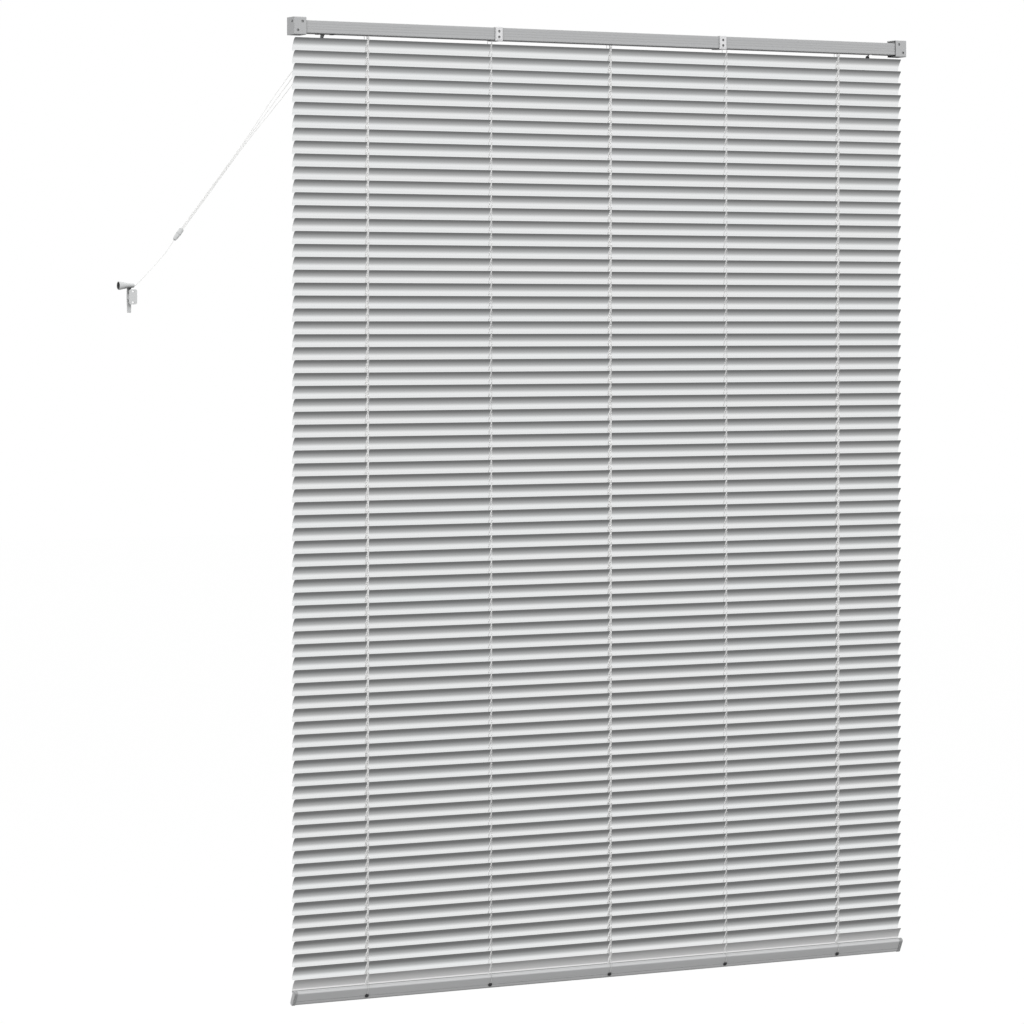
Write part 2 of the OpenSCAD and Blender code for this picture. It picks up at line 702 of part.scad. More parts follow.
// Bell-shaped end piece, open towards -X, lying in the crook of the cleat.
module cord_tassel() {
    color("lightgray") translate(cord_end) rotate([0, -90, 0]) rotate_extrude() polygon([
        [0, 0], [2.6, 0], [3.2, 1], [3.8, 5], [4.2, 11], [5.2, 17], [tassel_r - 0.5, 23],
        [tassel_r, tassel_len - 0.8], [tassel_r - 0.4, tassel_len], [tassel_r - 1.1, tassel_len],
        [tassel_r - 1.6, 22], [4, 16], [3, 12], [0, 11]
    ]);
}

// Wall plate with a neck and two horns to wind the cord round. The upper horn stands in front of the tassel.
module cord_cleat() {
    x = cleat_x;
    top = cord_end[2] - 6;
    mid = top - cleat_h / 2;
    horn_y = cord_end[1] + 4.1 + gap;
    horn_top = cord_end[2] + 4;
    horn_foot = top - cleat_h - 13;
    color("gainsboro") difference() {
        union() {
            translate([x, 0, mid]) rotate([-90, 0, 0]) linear_extrude(2.4)
                polygon(round_rect(cleat_w, cleat_h, 3, 4));
            translate([x, 2, mid]) rotate([-90, 0, 0]) linear_extrude(horn_y)
                polygon(round_rect(cleat_w - 6, cleat_neck, 2, 3));
            translate([x, 0, 0]) along_x(6) polygon(concat(
                [[horn_y, mid]], arc([horn_y + 1.5, horn_top - 1.5], 1.5, 180, 0, 4),
                [[horn_y + 4.6, mid + 6], [horn_y + 5, mid], [horn_y + 4.6, mid - 6]],
                arc([horn_y + 1.5, horn_foot + 1.5], 1.5, 360, 180, 4)
            ));
        }
        for (s = [-1, 1]) translate([x, -1, mid + s * cleat_hole_z]) rotate([-90, 0, 0]) {
            cylinder(r = cleat_hole_r, h = 5);
            translate([0, 0, 2.4]) cylinder(r1 = cleat_hole_r, r2 = cleat_hole_r + 1.5, h = 1.5);
        }
    }
}

// ---- Bottom rail ----

module on_rail() {
    translate([0, axis_y, rail_z]) rotate([-closed_tilt, 0, 0]) children();
}

rail_len = slat_len - 2 * rail_short;
button_y = 4.5;
button_plug_r = button_r - 1.4;

// Roll-formed tube whose seam runs along its underside, in the line of the buttons.
module rail_profile() {
    difference() {
        polygon(round_rect(rail_w, rail_h, 3.4, 5));
        polygon(round_rect(rail_w - 2 * rail_t, rail_h - 2 * rail_t, 3.4 - rail_t, 5));
        translate([button_y, -rail_h / 2]) square([1.2, 4], center = true);
    }
    for (s = [-1, 1]) translate([button_y + s * (0.6 + rail_t / 2), -rail_h / 2 + 1.4])
        square([rail_t, 2.4], center = true);
}

module bottom_rail() {
    color("silver") on_rail() difference() {
        along_x(rail_len) rail_profile();
        for (x = ladder_x) translate([x, button_y, -rail_h / 2 - 1]) cylinder(r = button_plug_r + running_gap, h = 5);
    }
}

module rail_buttons() {
    color("dimgray") on_rail() for (x = ladder_x) translate([x, button_y, -rail_h / 2]) rotate([180, 0, 0]) {
        rotate_extrude() polygon(concat(
            [[0, 0.02], [button_r, 0.02]], arc([button_r - 0.8, 0.6], 0.8, 0, 90, 3), [[1.6, 1.7], [0, 1.7]]
        ));
        translate([0, 0, -2.4]) cylinder(r = button_plug_r, h = 2.5);
    }
}

module rail_caps() {
    plug = 2 * (rail_t + 1.5);
    color("silver") on_rail() for (s = [-1, 1]) translate([s * rail_len / 2, 0, 0]) {
        translate([s * cap_len / 2, 0, 0]) along_x(cap_len) polygon(round_rect(rail_w + 0.6, rail_h + 0.6, 3.7, 5));
        for (x = [0.9, cap_len / 2, cap_len - 0.9]) translate([s * x, 0, 0]) along_x(0.8)
            polygon(round_rect(rail_w + 1.4, rail_h + 1.4, 4.1, 5));
        translate([-s * 5, -3, 0]) along_x(10) polygon(round_rect(rail_w - 16, rail_h - plug, 1.4, 3));
    }
}

headrail();
bracket_left();
bracket_right();
gate_left();
gate_right();
centre_brackets();
tilter_housing();
tilter_worm();
tilt_gear();
tilt_rod();
ladder_drums();
drum_cradles();
cord_lock();
lock_roller();
lift_cords();
ladders_upper();
ladders_lower();
slats_lower();
bottom_rail();
rail_caps();
rail_buttons();
wand();
wand_hook();
pull_cords();
cord_connector();
tail_cord();
cord_tassel();
cord_cleat();
for (i = [1:tilt_slats]) closed_slat(i);
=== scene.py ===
import json
import math

import bmesh
import bpy
from mathutils import Matrix, Vector


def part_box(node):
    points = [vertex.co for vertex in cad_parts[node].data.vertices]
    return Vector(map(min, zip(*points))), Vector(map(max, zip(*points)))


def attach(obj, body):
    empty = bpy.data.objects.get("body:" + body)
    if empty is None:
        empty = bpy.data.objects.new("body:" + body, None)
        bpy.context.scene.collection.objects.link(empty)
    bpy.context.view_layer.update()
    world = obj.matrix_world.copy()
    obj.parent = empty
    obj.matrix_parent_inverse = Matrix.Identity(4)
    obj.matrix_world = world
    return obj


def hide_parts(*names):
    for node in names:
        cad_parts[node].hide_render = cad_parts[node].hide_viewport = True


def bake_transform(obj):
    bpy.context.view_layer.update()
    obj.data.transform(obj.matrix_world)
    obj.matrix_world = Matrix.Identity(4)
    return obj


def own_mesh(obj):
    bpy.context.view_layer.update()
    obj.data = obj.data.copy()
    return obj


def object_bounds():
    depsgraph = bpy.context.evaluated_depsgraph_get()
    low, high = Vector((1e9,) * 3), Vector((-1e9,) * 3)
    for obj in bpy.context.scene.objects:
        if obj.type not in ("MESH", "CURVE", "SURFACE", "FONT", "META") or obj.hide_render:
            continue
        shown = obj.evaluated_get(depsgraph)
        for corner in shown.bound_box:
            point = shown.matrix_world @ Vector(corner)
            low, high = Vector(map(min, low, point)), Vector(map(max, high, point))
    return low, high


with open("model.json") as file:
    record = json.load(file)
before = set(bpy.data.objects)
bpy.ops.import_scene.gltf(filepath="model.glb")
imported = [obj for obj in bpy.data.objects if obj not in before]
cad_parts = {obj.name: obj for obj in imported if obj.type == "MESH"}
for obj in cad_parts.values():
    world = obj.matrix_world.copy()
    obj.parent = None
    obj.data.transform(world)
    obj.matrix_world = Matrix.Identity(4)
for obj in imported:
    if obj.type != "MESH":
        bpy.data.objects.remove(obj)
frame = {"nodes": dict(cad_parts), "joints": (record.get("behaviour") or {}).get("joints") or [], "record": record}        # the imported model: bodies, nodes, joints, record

# Venetian blind, slats closed and lowered. Metres: X along the headrail, Y from the wall into the room, Z up.

nodes = frame["nodes"]
bodies = frame["record"]["behaviour"]["bodies"]
bodyOfNode = {node: body for body, members in bodies.items() for node in members}
joints = {joint["name"]: joint for joint in frame["joints"]}
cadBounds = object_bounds()
slotOfNode = {part["node"]: part["material_slot"] for part in frame["record"]["subparts"]}
root = bodyOfNode["headrail"]

pivotY = joints["slat_01_tilt"]["pos_m"][1]      # the line that every slat turns about
firstSlatZ = joints["slat_01_tilt"]["pos_m"][2]
pitch = firstSlatZ - joints["slat_02_tilt"]["pos_m"][2]
tiltingSlats = sum(name.startswith("slat_") and name.endswith("_tilt") for name in joints)
lowerLow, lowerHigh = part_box("slats_lower")
liftTravel = joints["lift"]["range_m"][1]
tolerance = 1e-6


# Camera

camera = {
    "place": (-3.337, -5.8617, -0.4785),
    "turn": -28.2,           # degrees about Z, away from +Y
    "lens": 140,
    "rise": -0.1864,         # shift that keeps the uprights parallel
}


def makeCamera():
    level = math.radians(90)
    bpy.ops.object.camera_add(location=camera["place"], rotation=(level, 0, math.radians(camera["turn"])))
    eye = bpy.context.object
    eye.name = "Camera"
    eye.data.lens = camera["lens"]
    eye.data.shift_y = camera["rise"]
    bpy.context.scene.camera = eye


makeCamera()


# Editing

def deselectAll():
    if bpy.context.mode != "OBJECT":
        bpy.ops.object.mode_set(mode="OBJECT")
    bpy.ops.object.select_all(action="DESELECT")


def makeActive(piece):
    deselectAll()
    piece.select_set(True)
    bpy.context.view_layer.objects.active = piece


def startEditing(piece, kind="VERT"):
    makeActive(piece)
    bpy.ops.object.mode_set(mode="EDIT")
    bpy.ops.mesh.select_mode(type=kind)
    bpy.ops.mesh.select_all(action="SELECT")


def stopEditing():
    bpy.ops.object.mode_set(mode="OBJECT")


# Selects the vertices, edges or faces of the mesh in edit mode that pass a test.
def pick(piece, kind, wanted):
    mesh = bmesh.from_edit_mesh(piece.data)
    bpy.ops.mesh.select_all(action="DESELECT")
    for item in getattr(mesh, kind):
        if wanted(item):
            item.select_set(True)
    mesh.select_flush_mode()
    bmesh.update_edit_mesh(piece.data)


def useModifier(piece, kind, **settings):
    makeActive(piece)
    modifier = piece.modifiers.new(kind.title(), kind)
    for name, value in settings.items():
        setattr(modifier, name, value)
    bpy.ops.object.modifier_apply(modifier=modifier.name)


def smoothBy(piece, degrees):
    makeActive(piece)
    bpy.ops.object.shade_smooth_by_angle(angle=math.radians(degrees))


def copyOf(piece, name, move=Matrix.Identity(4)):
    twin = piece.copy()
    twin.data = piece.data.copy()
    twin.data.transform(move)
    twin.name = twin.data.name = name
    bpy.context.scene.collection.objects.link(twin)
    return twin


def removePiece(piece):
    bpy.data.objects.remove(piece, do_unlink=True)


def joined(pieces, name):
    deselectAll()
    for piece in pieces:
        piece.select_set(True)
    bpy.context.view_layer.objects.active = pieces[0]
    if len(pieces) > 1:
        bpy.ops.object.join()
    whole = bpy.context.view_layer.objects.active
    whole.name = whole.data.name = name
    return whole


def dress(piece, slotName):
    piece.data.materials.clear()
    piece.data.materials.append(finishes[slotName])
    return piece


refinement = {
    "merge": 2e-6,
    "flat": 0.2,             # faces that meet at less than this, in degrees, become one
    "sharp": 35,             # edges that turn by more than this, in degrees, are broken and stay sharp
    "segments": 2,           # of a broken edge
}


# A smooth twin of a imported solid, with its edges broken, which takes the solid's place.
def refined(node, edge):
    piece = copyOf(nodes[node], node + "Refined")
    startEditing(piece)
    bpy.ops.mesh.remove_doubles(threshold=refinement["merge"])
    bpy.ops.mesh.dissolve_limited(angle_limit=math.radians(refinement["flat"]))
    stopEditing()
    if edge:
        useModifier(
            piece, "BEVEL", width=edge, segments=refinement["segments"], limit_method="ANGLE",
            angle_limit=math.radians(refinement["sharp"]), use_clamp_overlap=True,
        )
    smoothBy(piece, refinement["sharp"])
    useModifier(piece, "WEIGHTED_NORMAL", keep_sharp=True)
    dress(piece, slotOfNode[node])
    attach(piece, bodyOfNode[node])
    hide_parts(node)
    return piece


# Finishes

# A socket with arithmetic: an expression on signals adds its Math nodes.
class Signal:
    def __init__(self, finish, socket):
        self.finish = finish
        self.socket = socket

    def calc(self, operation, first, second):
        return self.finish.add("ShaderNodeMath", {"operation": operation}, {0: first, 1: second})

    def __add__(self, other):
        return self.calc("ADD", self, other)

    def __radd__(self, other):
        return self.calc("ADD", other, self)

    def __sub__(self, other):
        return self.calc("SUBTRACT", self, other)

    def __rsub__(self, other):
        return self.calc("SUBTRACT", other, self)

    def __mul__(self, other):
        return self.calc("MULTIPLY", self, other)

    def __rmul__(self, other):
        return self.calc("MULTIPLY", other, self)

    def __truediv__(self, other):
        return self.calc("DIVIDE", self, other)

    def __pow__(self, other):
        return self.calc("POWER", self, other)

    def sine(self):
        return self.calc("SINE", self, 0)

    def highest(self, other):
        return self.calc("MAXIMUM", self, other)

    # The angle of the point whose height is this signal and whose distance out is the other one.
    def angleOver(self, other):
        return self.calc("ARCTAN2", self, other)


# A material or a world, with one method that adds any node.
class Finish:
    def __init__(self, owner):
        owner.use_nodes = True
        self.owner = owner
        self.tree = owner.node_tree

    def add(self, kind, settings=None, sockets=None, output=0):
        node = self.tree.nodes.new(kind)
        for name, value in (settings or {}).items():
            if name == "stops":
                self.fillRamp(node.color_ramp, value)
            else:
                setattr(node, name, value)
        for name, value in (sockets or {}).items():
            self.feed(node.inputs[name], value)
        return Signal(self, node.outputs[output])

    def fillRamp(self, ramp, stops):
        while len(ramp.elements) < len(stops):
            ramp.elements.new(0.5)
        for element, (position, shade) in zip(ramp.elements, stops):
            element.position = position
            element.color = (shade, shade, shade, 1)

    def feed(self, socket, value):
        if isinstance(value, Signal):
            self.tree.links.new(value.socket, socket)
        else:
            socket.default_value = value

    def ramp(self, share, stops):
        return self.add("ShaderNodeValToRGB", {"stops": stops}, {0: share})

    def noise(self, place, scale, detail, roughness=0.5):
        sockets = {"Vector": place, "Scale": scale, "Detail": detail, "Roughness": roughness}
        return self.add("ShaderNodeTexNoise", None, sockets)

    # Noise drawn out into streaks: the larger the scale along an axis, the finer it is that way.
    def streaks(self, scales, detail):
        stretched = self.add("ShaderNodeMapping", None, {"Vector": self.place, "Scale": scales})
        return self.noise(stretched, 1.0, detail)

    # How open a spot is, from 0 deep in a corner or a bore to 1, judged over a reach in metres.
    def openness(self, reach):
        return self.add("ShaderNodeAmbientOcclusion", {"samples": 6}, {"Distance": reach}, "AO")

    def mixed(self, share, first, second):
        return self.add("ShaderNodeMix", {"data_type": "RGBA"}, {0: share, 6: first, 7: second}, 2)

    def bump(self, height, distance, strength):
        sockets = {"Height": height, "Distance": distance, "Strength": strength}
        return self.add("ShaderNodeBump", None, sockets)


def rgba(colour, factor=1.0):
    return (colour[0] * factor, colour[1] * factor, colour[2] * factor, 1)


def newFinish(name, **fixed):
    finish = Finish(bpy.data.materials.new(name))
    finish.shader = finish.tree.nodes["Principled BSDF"]
    finish.place = finish.add("ShaderNodeTexCoord", output="Object")
    for socket, value in fixed.items():
        finish.shader.inputs[socket.replace("_", " ")].default_value = value
    return finish


def connect(finish, **signals):
    for socket, signal in signals.items():
        finish.feed(finish.shader.inputs[socket.replace("_", " ")], signal)
    return finish.owner


slatCoat = {
    "colour": (0.955, 0.955, 0.955),
    "cool": (0.93, 0.955, 0.965),
    "drift": (2.2, 40, 23),          # scales of the slow change of tone
    "rollLines": (3, 1400, 1400),
    "specks": 900,
    "roughness": 0.10,
    "grain": 0.00001,                # height of the bump
}


# Coil-coated aluminium: glossy, with faint rolling lines and a slow drift of tone from slat to slat.
def slatCoatFinish():
    finish = newFinish("slatCoat", Metallic=1.0)
    drift = finish.streaks(slatCoat["drift"], 1)
    lines = finish.streaks(slatCoat["rollLines"], 2)
    specks = finish.noise(finish.place, slatCoat["specks"], 2)
    return connect(
        finish,
        Base_Color=finish.mixed(drift, rgba(slatCoat["colour"]), rgba(slatCoat["cool"])),
        Roughness=slatCoat["roughness"] + lines * 0.05 + specks * 0.03,
        Normal=finish.bump(lines * 0.5 + specks * 0.3, slatCoat["grain"], 0.5),
    )


lastSlat = {
    "height": 0.0226,        # of the closed slat, from its foot to its top
    # painted colour and roughness by the height over the slat's foot: the rail's painted shadow at the foot,
    # a painted highlight on the lip, and the rail's painted reflection above it
    "tones": [(0, 0.25), (0.0036, 0.28), (0.0045, 0.93), (0.0058, 0.93), (0.0074, 0.78)],
    "roughness": [(0, 0.5), (0.0036, 0.4), (0.0045, 0.14), (0.0058, 0.14), (0.0078, 0.55)],
}


# The last slat hangs over the rail. Its colour is painted light: the rail's shadow at its foot, a bright
# highlight on its lip, and above that the rail's reflection, dull and even.
def lastSlatPaintedLightFinish(foot):
    finish = newFinish("lastSlatCoat", Metallic=1.0)
    height = lastSlat["height"]
    up = (finish.add("ShaderNodeSeparateXYZ", None, {0: finish.place}, "Z") - foot) / height
    # painted shadow, highlight and reflection of the rail, by the height over the slat's foot
    tones = finish.ramp(up, [(z / height, tone) for z, tone in lastSlat["tones"]])
    dulling = finish.ramp(up, [(z / height, roughness) for z, roughness in lastSlat["roughness"]])
    lines = finish.streaks(slatCoat["rollLines"], 2)
    return connect(
        finish,
        Base_Color=finish.mixed(lines * 0.1, tones, rgba(slatCoat["cool"])),
        Roughness=dulling + lines * 0.05,
        Normal=finish.bump(lines, slatCoat["grain"], 0.5),
    )


enamel = {
    "peel": 1500,
    "rollLines": (4, 700, 700),
    "scuffs": 14,
    "dustShare": 0.12,       # of the colour that is left in the painted shade of corners
    "grain": 0.00004,
}


# Stoved enamel on rolled sheet: orange peel, drawn lines along the roll, scuffs, and painted shade darkening
# its corners.
def enamelFinish(name, colour, roughness, metallic, lineShare, cornerShadeReach):
    finish = newFinish(name, Metallic=metallic)
    peel = finish.noise(finish.place, enamel["peel"], 2)
    lines = finish.streaks(enamel["rollLines"], 2)
    scuffs = finish.noise(finish.place, enamel["scuffs"], 4, 0.6)
    # painted shade: the colour darkens in corners and recesses, where light reaches less
    corners = finish.openness(cornerShadeReach) ** 1.5
    clean = finish.mixed(scuffs * 0.5 + lines * 0.25, rgba(colour, 0.96), rgba(colour, 1.03))
    return connect(
        finish,
        Base_Color=finish.mixed(corners, rgba(colour, enamel["dustShare"]), clean),
        Roughness=roughness + scuffs * 0.12 + peel * 0.05,
        Normal=finish.bump(peel * (1 - lineShare) + lines * lineShare, enamel["grain"], 0.35),
    )


moulding = {
    "spark": 2600,
    "flow": 60,
    "boreShare": 0.03,       # of the colour that is left as painted shade deep in a bore
    "grain": 0.00005,
}


# Injection-moulded plastic: a fine spark-eroded grain, slow flow marks, and painted shade deep inside each
# bore.
def mouldedFinish(name, colour, roughness, boreShadeReach):
    finish = newFinish(name, Specular_IOR_Level=0.45)
    spark = finish.noise(finish.place, moulding["spark"], 3, 0.7)
    flow = finish.noise(finish.place, moulding["flow"], 3)
    # painted shade: the colour darkens deep in each bore and recess, where light reaches less
    paintedBoreShade = finish.openness(boreShadeReach) ** 2.5
    clean = finish.mixed(flow, rgba(colour, 0.95), rgba(colour, 1.04))
    return connect(
        finish,
        Base_Color=finish.mixed(paintedBoreShade, rgba(colour, moulding["boreShare"]), clean),
        Roughness=roughness + spark * 0.14,
        Normal=finish.bump(spark, moulding["grain"], 0.3),
    )


# Braided polyester: two sets of strands wind round the cord against each other, one turn in each lay.
def braidFinish(name, colour, lay, strands):
    finish = newFinish(
        name, Roughness=0.85, Sheen_Weight=0.3, Specular_IOR_Level=0.2,
        Subsurface_Weight=0.6, Subsurface_Scale=0.0008, Subsurface_Radius=(1, 1, 1),
    )
    uv = finish.add("ShaderNodeTexCoord", output="UV")
    across = finish.add("ShaderNodeSeparateXYZ", None, {0: uv}, "X") * (2 * math.pi * strands)
    along = finish.add("ShaderNodeSeparateXYZ", None, {0: uv}, "Y") * (2 * math.pi / lay)
    right = (across + along).sine()
    left = (across - along).sine()
    weave = right.highest(left) * 0.5 + 0.5
    fluff = finish.noise(finish.place, 2200, 2)
    return connect(
        finish,
        Base_Color=finish.mixed(weave * 0.8 + fluff * 0.2, rgba(colour, 0.88), rgba(colour)),
        Normal=finish.bump(weave + fluff * 0.3, 0.0001, 0.5),
    )


# Zinc plating with the fine scratches of drawing and a mottled passivation.
def zincFinish():
    finish = newFinish("zincPlate", Metallic=1.0)
    drawn = finish.streaks((8, 900, 900), 2)
    mottle = finish.noise(finish.place, 90, 3)
    return connect(
        finish,
        Base_Color=finish.mixed(mottle, (0.60, 0.61, 0.62, 1), (0.72, 0.72, 0.70, 1)),
        Roughness=0.28 + drawn * 0.2,
        Normal=finish.bump(drawn, 0.00002, 0.4),
    )


def brassFinish():
    finish = newFinish("rollerBrass", Metallic=1.0)
    tarnish = finish.noise(finish.place, 400, 3)
    return connect(
        finish,
        Base_Color=finish.mixed(tarnish, (0.80, 0.62, 0.28, 1), (0.62, 0.45, 0.20, 1)),
        Roughness=0.22 + tarnish * 0.2,
    )


def acrylicFinish():
    finish = newFinish("clearAcrylic", Transmission_Weight=0.95, IOR=1.49)
    flow = finish.streaks((400, 400, 12), 2)
    return connect(
        finish,
        Base_Color=finish.mixed(flow, (0.93, 0.96, 0.97, 1), (0.97, 0.98, 0.98, 1)),
        Roughness=0.04 + flow * 0.05,
    )


finishes = {
    "painted_steel": enamelFinish(
        "railEnamel", (0.51, 0.515, 0.52), roughness=0.36, metallic=0.15, lineShare=0.5, cornerShadeReach=0.005,
    ),
    "bracket_steel": enamelFinish(
        "bracketEnamel", (0.52, 0.525, 0.53), roughness=0.40, metallic=0.1, lineShare=0.15, cornerShadeReach=0.016,
    ),
    "spring_steel": enamelFinish(
        "clipEnamel", (0.86, 0.86, 0.87), roughness=0.35, metallic=0.0, lineShare=0.1, cornerShadeReach=0.005,
    ),
    "slat_aluminium": slatCoatFinish(),
    "ladder_braid": braidFinish("ladderBraid", (0.97, 0.97, 0.965), lay=0.0016, strands=2),
    "cord_braid": braidFinish("cordBraid", (0.94, 0.94, 0.93), lay=0.0032, strands=4),
    "white_plastic": mouldedFinish("whiteMoulding", (0.88, 0.88, 0.87), roughness=0.38, boreShadeReach=0.016),
    "grey_plastic": mouldedFinish("greyMoulding", (0.66, 0.67, 0.67), roughness=0.40, boreShadeReach=0.016),
    "rail_plastic": mouldedFinish("capMoulding", (0.56, 0.565, 0.57), roughness=0.40, boreShadeReach=0.003),
    "dark_plastic": mouldedFinish("darkMoulding", (0.030, 0.030, 0.032), roughness=0.42, boreShadeReach=0.006),
    "zinc_steel": zincFinish(),
    "roller_brass": brassFinish(),
    "clear_acrylic": acrylicFinish(),
}

for nodeName, cadNode in nodes.items():
    cadNode.data.materials.clear()
    cadNode.data.materials.append(finishes[slotOfNode[nodeName]])
print("finishes:", len(finishes))


# Tubes

# A round tube along points, closed at its ends, with a UV map whose Y is metres along the tube.
def tubeAlong(name, points, radius, sides=8):
    points = [Vector(p) for p in points]
    mesh = bmesh.new()
    uvLayer = mesh.loops.layers.uv.new("UVMap")
    rings, lengths = [], [0.0]
    side = None
    for i, point in enumerate(points):
        ahead = points[min(i + 1, len(points) - 1)] - points[max(i - 1, 0)]
        ahead.normalize()
        if side is None:
            side = ahead.cross(Vector((0, 1, 0)) if abs(ahead.y) < 0.9 else Vector((1, 0, 0)))
        side = (side - ahead * side.dot(ahead)).normalized()
        up = ahead.cross(side)
        rings.append([
            mesh.verts.new(point + radius * (math.cos(a) * side + math.sin(a) * up))
            for a in (2 * math.pi * k / sides for k in range(sides))
        ])
        if i:
            lengths.append(lengths[-1] + (point - points[i - 1]).length)
    for i in range(len(rings) - 1):
        for k in range(sides):
            nextK = (k + 1) % sides
            face = mesh.faces.new((rings[i][k], rings[i][nextK], rings[i + 1][nextK], rings[i + 1][k]))
            face.smooth = True
            corners = ((k, i), (k + 1, i), (k + 1, i + 1), (k, i + 1))
            for loop, (around, ring) in zip(face.loops, corners):
                loop[uvLayer].uv = (around / sides, lengths[ring])
    mesh.faces.new(list(reversed(rings[0])))
    mesh.faces.new(rings[-1])
    bmesh.ops.recalc_face_normals(mesh, faces=mesh.faces)
    data = bpy.data.meshes.new(name)
    mesh.to_mesh(data)
    mesh.free()
    piece = bpy.data.objects.new(name, data)
    bpy.context.scene.collection.objects.link(piece)
    piece.visible_glossy = False
    return piece


# Points on a smooth curve through given ones, about `step` apart.
def smoothPath(points, step):
    points = [Vector(p) for p in points]
    path = [points[0]]
    for i in range(len(points) - 1):
        before, start = points[max(i - 1, 0)], points[i]
        end, after = points[i + 1], points[min(i + 2, len(points) - 1)]
        count = max(1, round((end - start).length / step))
        for k in range(1, count + 1):
            t = k / count
            path.append(0.5 * (
                2 * start + (end - before) * t + (2 * before - 5 * start + 4 * end - after) * t * t
                + (3 * start - before - 3 * end + after) * t ** 3
            ))
    return path


def pathLength(path):
    return sum((b - a).length for a, b in zip(path, path[1:]))


# Pull cords, connector, tail cord and tassel

pullCord = {
    "diameter": 0.0014,
    "outlet": Vector((-0.533, 0.0266, -0.0146)),
    "lean": Vector((-0.247, 0.0034, -0.316)),
    "across": Vector((0.79, 0, -0.61)),      # the way in which the outer cords stand off
    "pointGap": 0.004,
    "sides": 10,
    # points of the middle cord, and how far from it the two outer cords run there
    "route": [
        ((0, 0, 0), 0.0018), ((-0.008, 0.0008, -0.010), 0.0023), ((-0.030, 0.0017, -0.038), 0.0046),
        ((-0.060, 0.0022, -0.077), 0.0068), ((-0.090, 0.0025, -0.115), 0.0054),
        ((-0.120, 0.0027, -0.1535), 0.0030), ((-0.150, 0.0029, -0.192), 0.0017),
        ((-0.215, 0.0032, -0.275), 0.0016), ((-0.247, 0.0034, -0.316), 0.0016),
    ],
}
connector = {"length": 0.022}
tailCord = {
    "lead": Vector((-0.0034, -0.0004, -0.0044)),
    "route": [
        (-0.812, 0.025, -0.370), (-0.842, 0.017, -0.398), (-0.862, 0.012, -0.416),
        (-0.867, 0.0112, -0.420), (-0.869, 0.011, -0.4216), (-0.871, 0.011, -0.422),
    ],
}


def makePullCords():
    joint = refined("cord_connector", 0)
    for number, side in enumerate((-1, 0, 1), 1):
        path = smoothPath([
            pullCord["outlet"] + Vector(point) + side * spread * pullCord["across"]
            for point, spread in pullCord["route"]
        ], pullCord["pointGap"])
        tube = tubeAlong(f"pullCord_{number}", path, pullCord["diameter"] / 2, pullCord["sides"])
        cord = dress(tube, "cord_braid")
        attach(cord, root)
        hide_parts("pull_cords")
        pathLength(path)


def makeTailCord():
    start = pullCord["outlet"] + pullCord["lean"] + connector["length"] * pullCord["lean"].normalized()
    path = smoothPath([start, start + tailCord["lead"], *tailCord["route"]], pullCord["pointGap"])
    cord = dress(tubeAlong("tailCord", path, pullCord["diameter"] / 2, pullCord["sides"]), "cord_braid")
    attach(cord, root)
    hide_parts("tail_cord")
    pathLength(path)
    refined("cord_tassel", 0)


makePullCords()
makeTailCord()
print("free cords made")


# Slats

slatLow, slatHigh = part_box("slat_01")
slat = {
    "length": slatHigh.x - slatLow.x,
    "width": 0.025,
    "crown": 0.0022,
    "thickness": 0.0003,
    "cornerRadius": 0.002,
    "slotLength": 0.012,
    "slotWidth": 0.0028,
    "punch": 0.01,           # height of the slots' cutter
    "cornerSegments": 6,
    "strips": 12,            # flat strips that make up the crown
    "smoothAngle": 40,
    "closedTilt": 64,        # degrees from level, window edge up
    "turnedTilt": 56,        # degrees from level the other way, at the end of the tilt
    "stackedRise": 0.0174,   # how much further each lower slat travels than the one above it
}
slatCount = tiltingSlats + round((lowerHigh.z - lowerLow.z - (slatHigh.z - slatLow.z)) / pitch) + 1
liftCord = {
    "x": (-0.45675, 0.00125, 0.45925),
    "radius": 0.0007,
    "sides": 10,
    "lanes": (0, -0.0018, 0.0018),       # each cord's own lane along the headrail, beside the slats' line
    # the bend from the lane into the drop: distance before the drop, share of the lane, depth below it
    "bend": [(0.012, 1, 0), (0.008, 1, 0), (0.0025, 0.25, 0), (0.0006, 0, 0.0007)],
    "pointGap": 0.002,
}
closed = Matrix.Rotation(math.radians(-slat["closedTilt"]), 4, "X")


def slatZ(number):
    return firstSlatZ - (number - 1) * pitch


def slatPlace(number):
    return Matrix.Translation((0, pivotY, slatZ(number))) @ closed


# A cutter for one slot: a round punch, drawn out to the slot's length.
def makeSlot(x):
    deselectAll()
    radius = slat["slotWidth"] / 2
    bpy.ops.mesh.primitive_cylinder_add(vertices=24, radius=radius, depth=slat["punch"], location=(x, 0, 0))
    slot = bpy.context.object
    stretch = (slat["slotLength"] - slat["slotWidth"]) / 2
    startEditing(slot)
    for side in (-1, 1):
        pick(slot, "verts", lambda vertex: vertex.co.y * side > tolerance)
        bpy.ops.transform.translate(value=(0, side * stretch, 0))
    stopEditing()
    return slot


def crownHeight(y):
    radius = (slat["width"] ** 2 / 4 + slat["crown"] ** 2) / (2 * slat["crown"])
    return math.sqrt(radius ** 2 - y ** 2) - radius + slat["crown"]


